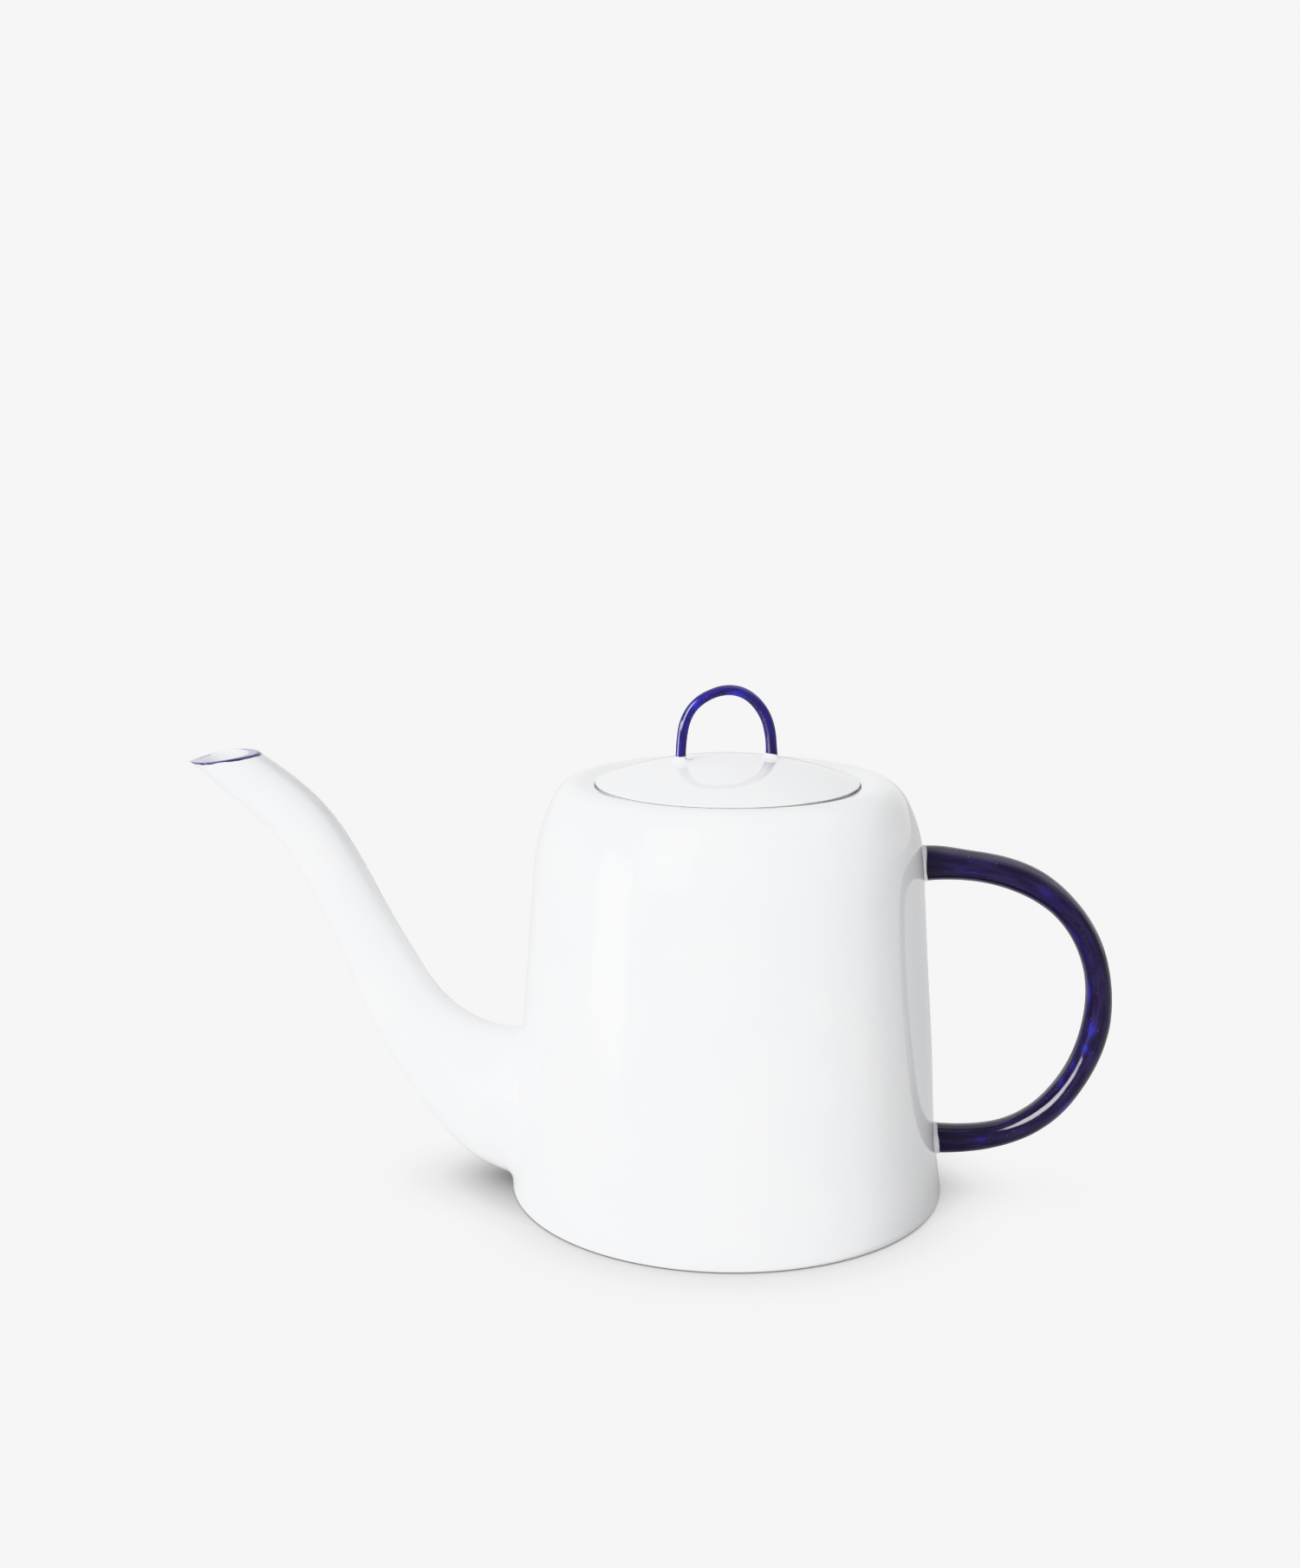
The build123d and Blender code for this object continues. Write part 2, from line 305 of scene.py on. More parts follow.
def skin(rows, closed=False, capped=False):
    """Vertices and faces of rings of points, each ring closed on itself."""
    columns = len(rows[0])
    faces = []
    for i in range(len(rows) if closed else len(rows) - 1):
        j = (i + 1) % len(rows)
        for k in range(columns):
            m = (k + 1) % columns
            faces.append([i * columns + k, i * columns + m, j * columns + m, j * columns + k])
    if capped:
        faces.append(list(range(columns)))
        faces.append(list(range((len(rows) - 1) * columns, len(rows) * columns)))
    return np.concatenate(rows), faces


# ---------------------------------------------------------------- columns of points along a tube
def lengths_along(curves):
    """Running length down each column of points."""
    steps = np.linalg.norm(np.diff(curves, axis=0), axis=2)
    return np.concatenate([np.zeros((1, curves.shape[1])), np.cumsum(steps, axis=0)])


def first_positive(values, lengths):
    """Length at which each column of values first turns positive."""
    turned = np.maximum(np.argmax(values > 0, axis=0), 1)
    k = np.arange(values.shape[1])
    before, after = values[turned - 1, k], values[turned, k]
    share = before / (before - after)
    return lengths[turned - 1, k] * (1 - share) + lengths[turned, k] * share


def read_at(curves, lengths, wanted):
    """Point of each column at the wanted length, one per column."""
    points = []
    for k in range(curves.shape[1]):
        points.append([np.interp(wanted[k], lengths[:, k], curves[:, k, axis]) for axis in range(3)])
    return np.array(points)


def outside_wall(curves):
    """How far each point stands outside the body's wall."""
    return np.linalg.norm(curves[..., :2], axis=-1) - wall_radius(curves[..., 2])


def on_wall(points, lift):
    """The same points moved radially to the body's wall, lifted off it by this much."""
    points = points.copy()
    across = np.linalg.norm(points[:, :2], axis=1)
    points[:, :2] *= ((wall_radius(points[:, 2]) + lift) / across)[:, None]
    return points


def root_rows(footprint, above, reach, steps):
    """Rings from a skirt hidden in the body's wall, through a concave fillet, up to the ring above."""
    pull, lowest = 0.62, 0.9        # how full the fillet is, and how near the foot it may come
    hidden, flush = (reach + 0.7, -0.4), (reach, 0.02)
    along = np.roll(footprint, -1, axis=0) - np.roll(footprint, 1, axis=0)
    turn = np.arctan2(footprint[:, 1], footprint[:, 0])
    slope = wall_radius(footprint[:, 2] + 0.5) - wall_radius(footprint[:, 2] - 0.5)
    normal = np.stack([np.cos(turn), np.sin(turn), -slope], 1)
    away = np.cross(along, normal)
    away /= np.linalg.norm(away, axis=1)[:, None]
    outward = ((footprint - footprint.mean(0)) * away).sum(1)
    away *= np.sign(np.sum(outward))
    rings = []
    for distance, lift in (hidden, flush):
        ring = footprint + away * np.reshape(distance, (-1, 1))
        ring[:, 2] = np.maximum(ring[:, 2], lowest)
        rings.append(on_wall(ring, lift))
    skirt, base = rings
    leave = footprint - base
    normal /= np.linalg.norm(normal, axis=1)[:, None]
    leave = leave - normal * (leave * normal).sum(1)[:, None]
    return [skirt, *bezier(base, base + leave * pull, above + (footprint - above) * pull, above, steps)]


# ---------------------------------------------------------------- shader nodes
def math_node(tree, operation, *values):
    """A Math node of these values, each a number or another node's output."""
    node = tree.nodes.new("ShaderNodeMath")
    node.operation = operation
    for socket, value in zip(node.inputs, values):
        if isinstance(value, (int, float)):
            socket.default_value = value
        else:
            tree.links.new(value, socket)
    return node.outputs[0]


def blended(tree, share, first, second):
    """A number between two numbers, each a number or another node's output."""
    return math_node(tree, "MULTIPLY_ADD", share, math_node(tree, "SUBTRACT", second, first), first)


def ranged(tree, value, low, high, to_low, to_high):
    """The value mapped smoothly from one range to another."""
    node = tree.nodes.new("ShaderNodeMapRange")
    node.interpolation_type = "SMOOTHSTEP"
    for key, number in zip(("From Min", "From Max", "To Min", "To Max"), (low, high, to_low, to_high)):
        node.inputs[key].default_value = number
    tree.links.new(value, node.inputs["Value"])
    return node.outputs["Result"]


def mixed(tree, share, first, second):
    """A colour between two colours, each a triple or another node's output."""
    node = tree.nodes.new("ShaderNodeMix")
    node.data_type = "RGBA"
    tree.links.new(share, node.inputs["Factor"])
    colour_a, colour_b, colour_result = node.inputs[6], node.inputs[7], node.outputs[2]
    for socket, value in ((colour_a, first), (colour_b, second)):
        if isinstance(value, tuple):
            socket.default_value = (*value, 1)
        else:
            tree.links.new(value, socket)
    return colour_result


def noise_node(tree, vector, size, detail=2.0, stretch=(1, 1, 1)):
    """Noise with features about this size, in the units of the vector."""
    mapping = tree.nodes.new("ShaderNodeMapping")
    mapping.inputs["Scale"].default_value = [s / size for s in stretch]
    tree.links.new(vector, mapping.inputs["Vector"])
    node = tree.nodes.new("ShaderNodeTexNoise")
    node.inputs["Scale"].default_value = 1.0
    node.inputs["Detail"].default_value = detail
    tree.links.new(mapping.outputs["Vector"], node.inputs["Vector"])
    return node.outputs["Fac"]


def parts_of(tree, vector):
    node = tree.nodes.new("ShaderNodeSeparateXYZ")
    tree.links.new(vector, node.inputs[0])
    return node.outputs


def attribute(tree, name):
    node = tree.nodes.new("ShaderNodeAttribute")
    node.attribute_name = name
    return node.outputs["Vector"]


def object_place(tree):
    """The point on the piece in millimetres, in the frame."""
    place = tree.nodes.new("ShaderNodeTexCoord")
    scale = tree.nodes.new("ShaderNodeVectorMath")
    scale.operation = "SCALE"
    scale.inputs["Scale"].default_value = 1 / MM
    tree.links.new(place.outputs["Object"], scale.inputs[0])
    return scale.outputs[0]


def new_glaze(name, roughness_low, roughness_high, coat, bump_size, bump_height):
    """A glossy glaze: its tree, its shader and its place vector, with uneven gloss and faint swells."""
    material = bpy.data.materials.new(name)
    material.use_nodes = True
    tree = material.node_tree
    shader = tree.nodes["Principled BSDF"]
    shader.inputs["Coat Weight"].default_value = coat
    shader.inputs["Coat Roughness"].default_value = 0.03
    place = object_place(tree)
    gloss = ranged(tree, noise_node(tree, place, 14.0), 0.3, 0.7, roughness_low, roughness_high)
    tree.links.new(gloss, shader.inputs["Roughness"])
    bump = tree.nodes.new("ShaderNodeBump")
    bump.inputs["Distance"].default_value = bump_height * MM
    tree.links.new(noise_node(tree, place, bump_size, 1.0), bump.inputs["Height"])
    tree.links.new(bump.outputs["Normal"], shader.inputs["Normal"])
    if coat:
        tree.links.new(bump.outputs["Normal"], shader.inputs["Coat Normal"])
    return material, tree, shader, place


# ---------------------------------------------------------------- materials
PORCELAIN = (0.865, 0.875, 0.892)
PORCELAIN_WARM = (0.875, 0.880, 0.888)
BISQUE = (0.80, 0.775, 0.73)
COBALT_WASH = (0.22, 0.195, 0.40)
COBALT_LINE = (0.03, 0.022, 0.12)
COBALT_SPECK = (0.5, 0.5, 0.62)
SLIP_WHITE = (0.85, 0.855, 0.875)
SLIP_BLED = (0.30, 0.27, 0.50)
SOFT_EDGE = 0.05                # the paint's edges fade over this much on either side


def porcelain_colour(tree, place):
    """White porcelain under clear glaze, a shade cooler where the glaze pools."""
    return mixed(tree, ranged(tree, noise_node(tree, place, 26.0), 0.35, 0.65, 0, 1),
                 PORCELAIN, PORCELAIN_WARM)


def make_porcelain():
    """The glaze of body and lid, with a bare, biscuit-fired ring where the pot stands."""
    material, tree, shader, place = new_glaze("white_porcelain_glaze", 0.03, 0.06, 0.0, 7.0, 0.01)
    colour = porcelain_colour(tree, place)
    x, y, z = parts_of(tree, place)
    across = math_node(tree, "SQRT", math_node(tree, "ADD", math_node(tree, "MULTIPLY", x, x),
                                               math_node(tree, "MULTIPLY", y, y)))
    wander = math_node(tree, "MULTIPLY", noise_node(tree, place, 3.0), 0.25)
    low = ranged(tree, math_node(tree, "SUBTRACT", z, wander), 0.05, 0.2, 1, 0)
    bare = math_node(tree, "MULTIPLY", low, ranged(tree, across, FOOT_INNER - 1, FOOT_INNER, 0, 1))
    grain = ranged(tree, noise_node(tree, place, 0.5, 4.0), 0.3, 0.7, 0.0, 1.0)
    clay = mixed(tree, grain, BISQUE, tuple(c * 0.9 for c in BISQUE))
    tree.links.new(mixed(tree, bare, colour, clay), shader.inputs["Base Color"])
    gloss = shader.inputs["Roughness"].links[0].from_socket
    tree.links.new(math_node(tree, "MAXIMUM", gloss, math_node(tree, "MULTIPLY", bare, 0.8)),
                   shader.inputs["Roughness"])
    return material


def make_spout_glaze():
    """The same porcelain, with a brushed cobalt line around the lip of the mouth. The lip attribute holds
    the depth below the mouth's plane, how far across the lip a point is and how heavy the brush was."""
    material, tree, shader, place = new_glaze("spout_porcelain_glaze", 0.05, 0.10, 0.0, 7.0, 0.01)
    depth, across, load = parts_of(tree, attribute(tree, "lip"))
    wander = ranged(tree, noise_node(tree, place, 4.0, 1.0), 0.3, 0.7, -0.10, 0.10)
    reach = math_node(tree, "ADD", ranged(tree, load, 0.1, 1.0, 0.05, 0.78), wander)
    painted = ranged(tree, math_node(tree, "SUBTRACT", depth, reach), -SOFT_EDGE, SOFT_EDGE, 1, 0)
    width = ranged(tree, load, 0.15, 0.5, 0.22, 0.93)
    inner_edge = ranged(tree, math_node(tree, "SUBTRACT", across, width), -SOFT_EDGE, SOFT_EDGE, 1, 0)
    painted = math_node(tree, "MULTIPLY", painted, inner_edge)
    off_crest = math_node(tree, "ABSOLUTE", math_node(tree, "SUBTRACT", across, 0.5))
    edge = ranged(tree, off_crest, 0.28, 0.42, 0, 1)
    loaded = ranged(tree, math_node(tree, "ADD", load, wander), 0.3, 0.95, 0.35, 1)
    thick = math_node(tree, "MULTIPLY", edge, loaded)
    paint = mixed(tree, thick, COBALT_WASH, COBALT_LINE)
    tree.links.new(mixed(tree, painted, porcelain_colour(tree, place), paint), shader.inputs["Base Color"])
    return material


def make_cobalt(name, deep, middle, bright, threshold):
    """Dark cobalt glaze with streaks and pools along the rod. The rod attribute holds the distance
    along it and the place in its section, as if the rod were straight. The pool attribute,
    where a piece has one, holds how strong a listed patch of brighter blue is: part glaze pooling, part
    painted highlight."""
    material, tree, shader, _ = new_glaze(name, 0.05, 0.11, 0.3, 2.6, 0.02)
    rod = attribute(tree, "rod")
    streaks = noise_node(tree, rod, 1.5, 3.0, (0.16, 1, 1))
    pools = noise_node(tree, rod, 4.5, 2.0, (0.5, 1, 1))
    colour = mixed(tree, ranged(tree, streaks, 0.35, 0.68, 0, 1), deep, middle)
    # the listed patches on the handle: brighter blue, part glaze pooling and part painted highlight
    placed_pools_and_highlights, _, _ = parts_of(tree, attribute(tree, "pool"))
    share = math_node(tree, "MAXIMUM", ranged(tree, pools, threshold, threshold + 0.14, 0, 1), placed_pools_and_highlights)
    share = math_node(tree, "MULTIPLY", share, ranged(tree, streaks, 0.42, 0.6, 0.25, 1))
    colour = mixed(tree, share, colour, bright)
    specks = ranged(tree, noise_node(tree, rod, 0.32, 0.0), 0.845, 0.87, 0, 0.5)
    tree.links.new(mixed(tree, specks, colour, COBALT_SPECK), shader.inputs["Base Color"])
    return material


def make_slip():
    """White slip, with a trace of cobalt bled into its edge. The edge attribute holds the distance to it."""
    material, tree, shader, place = new_glaze("white_slip_glaze", 0.09, 0.16, 0.0, 1.6, 0.02)
    distance, _, _ = parts_of(tree, attribute(tree, "edge"))
    wander = math_node(tree, "MULTIPLY", noise_node(tree, place, 1.2), 0.25)
    bled = ranged(tree, math_node(tree, "ADD", distance, wander), 0.12, 0.45, 0.8, 0)
    tree.links.new(mixed(tree, bled, SLIP_WHITE, SLIP_BLED), shader.inputs["Base Color"])
    return material


porcelain = make_porcelain()
spout_glaze = make_spout_glaze()
handle_cobalt = make_cobalt("handle_cobalt_glaze", (0.010, 0.005, 0.024), (0.022, 0.016, 0.058),
                            (0.028, 0.028, 0.30), 0.70)
loop_cobalt = make_cobalt("loop_cobalt_glaze", (0.018, 0.012, 0.075), (0.027, 0.020, 0.19),
                          (0.035, 0.032, 0.42), 0.52)
slip = make_slip()


# ---------------------------------------------------------------- pot body
def body_outline():
    """Half section of the body: underside, foot ring, wall, rim, lid seat, throat, inside."""
    inner = []
    for i in range(len(WALL_RUN)):
        before, after = WALL_RUN[max(i - 1, 0)], WALL_RUN[min(i + 1, len(WALL_RUN) - 1)]
        along = (after - before) / np.linalg.norm(after - before)
        inner.append(WALL_RUN[i] + WALL * np.array([-along[1], along[0]]))
    inner = np.array(inner)
    inner = inner[(inner[:, 1] > FLOOR_LEVEL + FLOOR_CORNER) & (inner[:, 1] < INSIDE_TOP)][::6]
    corner = inner[0]
    throat_start = THROAT_RADIUS + THROAT_ROUND
    inside = smooth_run([(SEAT_RADIUS - 1, THROAT_HEIGHT), (SEAT_RADIUS + 6, THROAT_HEIGHT - 0.3),
                         *inner[::-1]], 1.6)
    return joined(
        straight_run((0, FOOT_RECESS), (FOOT_INNER - 2.2, FOOT_RECESS), 6),
        smooth_run([(FOOT_INNER - 2.2, FOOT_RECESS), (FOOT_INNER - 0.9, FOOT_RECESS - 0.5),
                    (FOOT_INNER, 0.25), (FOOT_INNER + 0.5, 0)], 0.3),
        straight_run((FOOT_INNER + 0.5, 0), (FOOT_OUTER - 0.2, 0), 0.8),
        smooth_run([(FOOT_OUTER - 0.2, 0), (FOOT_OUTER + 0.55, 0.25), OUTER_WALL[0]], 0.3),
        WALL_RUN[::2],
        bezier(WALL_RUN[-1], WALL_RUN[-1] - (0.8, 0.15), np.array([SEAT_RADIUS, RIM_TOP - 0.3]),
               np.array([SEAT_RADIUS, RIM_TOP - LIP_ROUND]), 10),
        straight_run((SEAT_RADIUS, RIM_TOP - LIP_ROUND), (SEAT_RADIUS, SEAT_HEIGHT + SEAT_ROUND), 0.8),
        arc_run((SEAT_RADIUS - SEAT_ROUND, SEAT_HEIGHT + SEAT_ROUND), SEAT_ROUND, 0, -90, 4),
        straight_run((SEAT_RADIUS - SEAT_ROUND, SEAT_HEIGHT), (throat_start, SEAT_HEIGHT), 1),
        arc_run((throat_start, SEAT_HEIGHT - THROAT_ROUND), THROAT_ROUND, 90, 180, 5),
        straight_run((THROAT_RADIUS, SEAT_HEIGHT - THROAT_ROUND),
                     (THROAT_RADIUS, THROAT_HEIGHT + THROAT_ROUND), 1),
        arc_run((throat_start, THROAT_HEIGHT + THROAT_ROUND), THROAT_ROUND, 180, 270, 5),
        straight_run((throat_start, THROAT_HEIGHT), (SEAT_RADIUS - 1, THROAT_HEIGHT), 1),
        inside,
        arc_run((corner[0] - FLOOR_CORNER, FLOOR_LEVEL + FLOOR_CORNER), FLOOR_CORNER, 0, -90, 10),
        straight_run((corner[0] - FLOOR_CORNER, FLOOR_LEVEL), (0, FLOOR_LEVEL), 6),
    )


def cut_strainer(piece):
    """Cuts the strainer holes behind the spout through the body's wall."""
    bm = bmesh.new()
    places = [(0, STRAINER_HEIGHT)]
    for k in range(STRAINER_RING):
        turn = 2 * math.pi * k / STRAINER_RING
        places.append((STRAINER_CIRCLE * math.cos(turn), STRAINER_HEIGHT + STRAINER_CIRCLE * math.sin(turn)))
    for y, z in places:
        rows = []
        turns = full_turn(48)
        for x in STRAINER_REACH:
            ring = [(x, y + STRAINER_RADIUS * math.cos(t), z + STRAINER_RADIUS * math.sin(t)) for t in turns]
            rows.append([bm.verts.new(Vector(corner) * MM) for corner in ring])
        for k in range(len(rows[0])):
            m = (k + 1) % len(rows[0])
            bm.faces.new((rows[0][k], rows[0][m], rows[1][m], rows[1][k]))
        bm.faces.new(rows[0])
        bm.faces.new(rows[1])
    bmesh.ops.recalc_face_normals(bm, faces=bm.faces)
    mesh = bpy.data.meshes.new("strainer_cut")
    bm.to_mesh(mesh)
    bm.free()
    cutter = bpy.data.objects.new("strainer_cut", mesh)
    bpy.context.scene.collection.objects.link(cutter)
    cut = piece.modifiers.new("strainer", "BOOLEAN")
    cut.operation = "DIFFERENCE"
    cut.solver = "EXACT"
    cut.object = cutter
    bpy.context.view_layer.update()
    result = bpy.data.meshes.new_from_object(piece.evaluated_get(bpy.context.evaluated_depsgraph_get()))
    piece.modifiers.clear()
    piece.data = result
    bpy.data.objects.remove(cutter)
    for polygon in result.polygons:
        polygon.use_smooth = True
    result.set_sharp_from_angle(angle=math.radians(40))


vertices, faces = lathe(body_outline(), 256)
pot = new_piece("pot_shell", thrown(vertices), faces, "pot", "white_porcelain", porcelain)
cut_strainer(pot)
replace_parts(pot, "pot_body")


# ---------------------------------------------------------------- spout
def spout_curves(inner, columns, samples=700):
    """Lines along the spout's outer or inner surface, as rows of points, one column for each line."""
    last = len(SPOUT_STATIONS) - 1
    at = np.linspace(0, last, samples)
    in_beak, in_mouth = smoothstep(last - 3.5, last - 1.5, at), smoothstep(last - 2.2, last - 0.8, at)
    distance, height, flow, half_height, half_width = natural_spline(range(last + 1), SPOUT_STATIONS, at).T
    if inner:
        wall = SPOUT_WALL_ROOT + (SPOUT_WALL_MOUTH - SPOUT_WALL_ROOT) * at / last
        beak = BEAK_WALL * in_beak
        half_height, half_width = half_height - wall - beak / 2, half_width - wall
    flow = np.radians(flow)
    turn = full_turn(columns)
    rise = half_height[:, None] * np.cos(turn)
    if inner:
        rise += beak[:, None] / 2
    x = -distance[:, None] + rise * np.sin(flow)[:, None]
    z = height[:, None] + rise * np.cos(flow)[:, None]
    pinch = np.where(np.cos(turn) < 0, *MOUTH_PINCH) * np.cos(turn) ** 2
    narrow = 1 - in_mouth[:, None] * pinch * (0.6 if inner else 1.0)
    return np.stack([x, half_width[:, None] * np.sin(turn) * narrow, z], 2)


def above_mouth(points):
    """Distance of points above the plane that cuts the spout's end."""
    return ((points[..., 0] + MOUTH_CENTRE[0]) * -math.sin(MOUTH_TILT)
            - points[..., 1] * math.sin(MOUTH_ROLL)
            + (points[..., 2] - MOUTH_CENTRE[1]) * math.cos(MOUTH_TILT)
            - MOUTH_BULGE * (1 - ((points[..., 0] + MOUTH_CENTRE[0]) / MOUTH_HALF) ** 2))


def make_spout():
    columns, count = 160, 150
    embedded = 0.3                  # the channel starts this deep in the wall
    outer, inner = spout_curves(False, columns), spout_curves(True, columns)
    outer_run, inner_run = lengths_along(outer), lengths_along(inner)
    root = first_positive(outside_wall(outer), outer_run)
    end = first_positive(above_mouth(outer), outer_run)
    inner_root = first_positive(outside_wall(inner) + embedded, inner_run)
    inner_end = first_positive(above_mouth(inner), inner_run)
    turn = full_turn(columns)
    fillet = SPOUT_FILLET[0] + (SPOUT_FILLET[1] - SPOUT_FILLET[0]) * np.sin(turn) ** 2
    rows = root_rows(read_at(outer, outer_run, root), read_at(outer, outer_run, root + fillet), fillet, 14)
    for share in np.linspace(0, 1, count)[1:]:
        rows.append(read_at(outer, outer_run, (root + fillet) * (1 - share) + (end - LIP_BEND) * share))
    outer_rows = len(rows)
    rows += bezier(rows[-1], read_at(outer, outer_run, end), read_at(inner, inner_run, inner_end),
                   read_at(inner, inner_run, inner_end - LIP_BEND), 12)[1:]
    lip_rows = len(rows)
    for share in np.linspace(0, 1, count)[1:]:
        rows.append(read_at(inner, inner_run, (inner_end - LIP_BEND) * (1 - share) + inner_root * share))
    across = np.concatenate([np.zeros(outer_rows), np.linspace(0, 1, lip_rows - outer_rows + 1)[1:],
                             np.ones(len(rows) - lip_rows)])
    vertices, faces = skin(rows, closed=True)
    load = np.interp(np.degrees(turn), *zip(*BRUSH_LOAD))
    lip = np.stack([-above_mouth(vertices), np.repeat(across, columns), np.tile(load, len(rows))], 1)
    vertices = thrown(vertices, 1 - smoothstep(1, 14, outside_wall(vertices)))
    swells = 0.10 * ripple(vertices, 24.0, 3) * smoothstep(8, 30, outside_wall(vertices))
    vertices[:, 1:] += swells[:, None]
    return new_piece("spout_shell", vertices, faces, "pot", "white_porcelain", spout_glaze, lip=lip)


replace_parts(make_spout(), "spout")


# ---------------------------------------------------------------- handle and its slip collars
def handle_curves(columns, samples, swell=0.0):
    """Lines along the handle's surface from its lower to its upper end, and their place on a straight rod."""
    knots = np.array(HANDLE_SWEEP, float)
    angle = np.linspace(knots[0, 0], knots[-1, 0], samples)
    reach, half_depth, half_width = natural_spline(knots[:, 0], knots[:, 1:], angle).T
    angle = np.radians(angle)[:, None]
    turn = full_turn(columns)
    depth = (half_depth + swell)[:, None] * np.cos(turn)
    width = (half_width + swell)[:, None] * np.sin(turn)
    out = reach[:, None] + depth
    points = np.stack([HANDLE_CENTRE[0] + out * np.cos(angle), width,
                       HANDLE_CENTRE[1] + out * np.sin(angle)], 2)
    along = np.repeat(np.radians(knots[-1, 0] - knots[0, 0]) * knots[0, 1]
                      * np.linspace(0, 1, samples)[:, None], columns, axis=1)
    return points, np.stack([along, depth, width], 2)


def handle_pools(rod):
    """How strong the listed patches of brighter blue are at each place on the straight rod: part glaze
    pooling, part painted highlight.
    """
    first, last = HANDLE_SWEEP[0], HANDLE_SWEEP[-1]
    turn = np.degrees(np.arctan2(rod[:, 2], rod[:, 1]))
    wander = 0.35 * ripple(rod * (0.5, 1, 1), 2.2, 21)
    share = np.zeros(len(rod))
    for angle, side, length, width, strength in HANDLE_POOLS_AND_HIGHLIGHTS:
        along = rod[:, 0] - math.radians(angle - first[0]) * first[1]
        around = np.radians((turn - side + 180) % 360 - 180) * last[3]
        fall = (along / length * 2) ** 2 + (around / width + wander) ** 2 * 2
        share = np.maximum(share, strength * np.exp(-fall))
    return np.stack([share, share, share], 1)


def make_handle():
    columns = 72
    points, rod = handle_curves(columns, 420)
    shown = outside_wall(points).max(axis=1) > 0.3 * HANDLE_COLLAR
    points, rod = points[shown], rod[shown]
    vertices, faces = skin(list(points), capped=True)
    swells = 0.10 * ripple(vertices, 11.0, 5) + 0.03 * ripple(vertices, 4.0, 6)
    middle = points.mean(axis=1).repeat(columns, axis=0)
    vertices = middle + (vertices - middle) * (1 + swells / 4)[:, None]
    rod = np.concatenate(list(rod))
    # the listed patches: brighter blue, part glaze pooling and part painted highlight
    return new_piece("handle_strap", vertices, faces, "pot", "cobalt_glaze", handle_cobalt,
                     rod=rod, pool=handle_pools(rod))


def make_collar(name, upper):
    """White slip around one end of the handle, flared onto the body, with a wavy outer edge."""
    columns, flare, proud = 72, COLLAR_FLARE, COLLAR_PROUD
    embedded = 0.4                  # its inside starts this deep in the wall
    outer, inner = [handle_curves(columns, 1200, swell)[0][::-1 if upper else 1] for swell in (proud, -proud)]
    outer_run, inner_run = lengths_along(outer), lengths_along(inner)
    root = first_positive(outside_wall(outer), outer_run)
    inner_root = first_positive(outside_wall(inner) + embedded, inner_run)
    waves = ripple(read_at(outer, outer_run, root), 3.4, 11 if upper else 12)
    end = root + HANDLE_COLLAR + COLLAR_WAVE * waves
    rows = root_rows(read_at(outer, outer_run, root), read_at(outer, outer_run, root + flare), flare, 6)
    edge = [HANDLE_COLLAR] * len(rows)
    for share in (0.35, 0.7, 1.0):
        rows.append(read_at(outer, outer_run, (root + flare) * (1 - share) + (end - proud) * share))
        edge.append((HANDLE_COLLAR - flare) * (1 - share) + proud)
    rows += bezier(rows[-1], read_at(outer, outer_run, end), read_at(inner, inner_run, end),
                   read_at(inner, inner_run, end - proud), 5)[1:]
    edge += [0.08, 0.03, 0.0, 0.0, 0.0]
    rows.append(read_at(inner, inner_run, inner_root))
    edge.append(0.0)
    vertices, faces = skin(rows, closed=True)
    edge = np.repeat(np.array(edge)[:, None], columns, axis=1).ravel()
    return new_piece(name, vertices, faces, "pot", "white_slip", slip,
                     edge=np.stack([edge, edge, edge], 1))


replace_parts(make_handle(), "handle")
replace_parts(make_collar("handle_slip_upper", True), "handle_upper_luting")
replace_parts(make_collar("handle_slip_lower", False), "handle_lower_luting")


# ---------------------------------------------------------------- lid
def lid_top(radius):
    """Height of the dome at this distance from the axis."""
    return LID_CROWN - LID_FALL[0] * radius ** 2 - LID_FALL[1] * radius ** 4


def lid_outline():
    """Half section of the lid: dome, rounded edge, flange, hollow underside."""
    dome = np.linspace(0, LID_TURN_OVER, 45)
    under = np.linspace(LID_HOLLOW, 0, 20)
    flange_inner = FLANGE_RADIUS - FLANGE_WALL
    flange_round = FLANGE_WALL / 2
    rest_end = LID_RADIUS - LID_TUCK - LID_REST_ROUND
    flange_start = FLANGE_RADIUS + LID_REST_ROUND
    edge = bezier(np.array([LID_TURN_OVER, lid_top(LID_TURN_OVER)]),
                  np.array([LID_EDGE_SWELL, lid_top(LID_EDGE_SWELL)]),
                  np.array([LID_RADIUS, LID_EDGE_TOP + 0.28]), np.array([LID_RADIUS, LID_EDGE_TOP + 0.08]), 9)
    tuck = bezier(edge[-1], edge[-1] - (0, 0.2), np.array([LID_RADIUS - 0.5, LID_EDGE_TOP - 0.3]),
                  np.array([LID_RADIUS - LID_TUCK, LID_EDGE_TOP - LID_TUCK]), 7)
    root = bezier(np.array([flange_inner, LID_REST - 1.2]), np.array([flange_inner, LID_REST + 1.2]),
                  np.array([LID_FILLET, lid_top(LID_FILLET) - LID_THICKNESS]),
                  np.array([LID_HOLLOW, lid_top(LID_HOLLOW) - LID_THICKNESS]), 9)
    return joined(
        np.stack([dome, lid_top(dome)], 1),
        edge,
        tuck,
        arc_run((rest_end, LID_REST + LID_REST_ROUND), LID_REST_ROUND, 0, -90, 4),
        straight_run((rest_end, LID_REST), (flange_start, LID_REST), 1),
        arc_run((flange_start, LID_REST - LID_REST_ROUND), LID_REST_ROUND, 90, 180, 4),
        straight_run((FLANGE_RADIUS, LID_REST - LID_REST_ROUND),
                     (FLANGE_RADIUS, FLANGE_BOTTOM + flange_round), 1),
        arc_run((FLANGE_RADIUS - flange_round, FLANGE_BOTTOM + flange_round), flange_round, 0, -180, 10),
        straight_run((flange_inner, FLANGE_BOTTOM + flange_round), (flange_inner, LID_REST - 1.2), 1),
        root,
        np.stack([under, lid_top(under) - LID_THICKNESS], 1),
    )


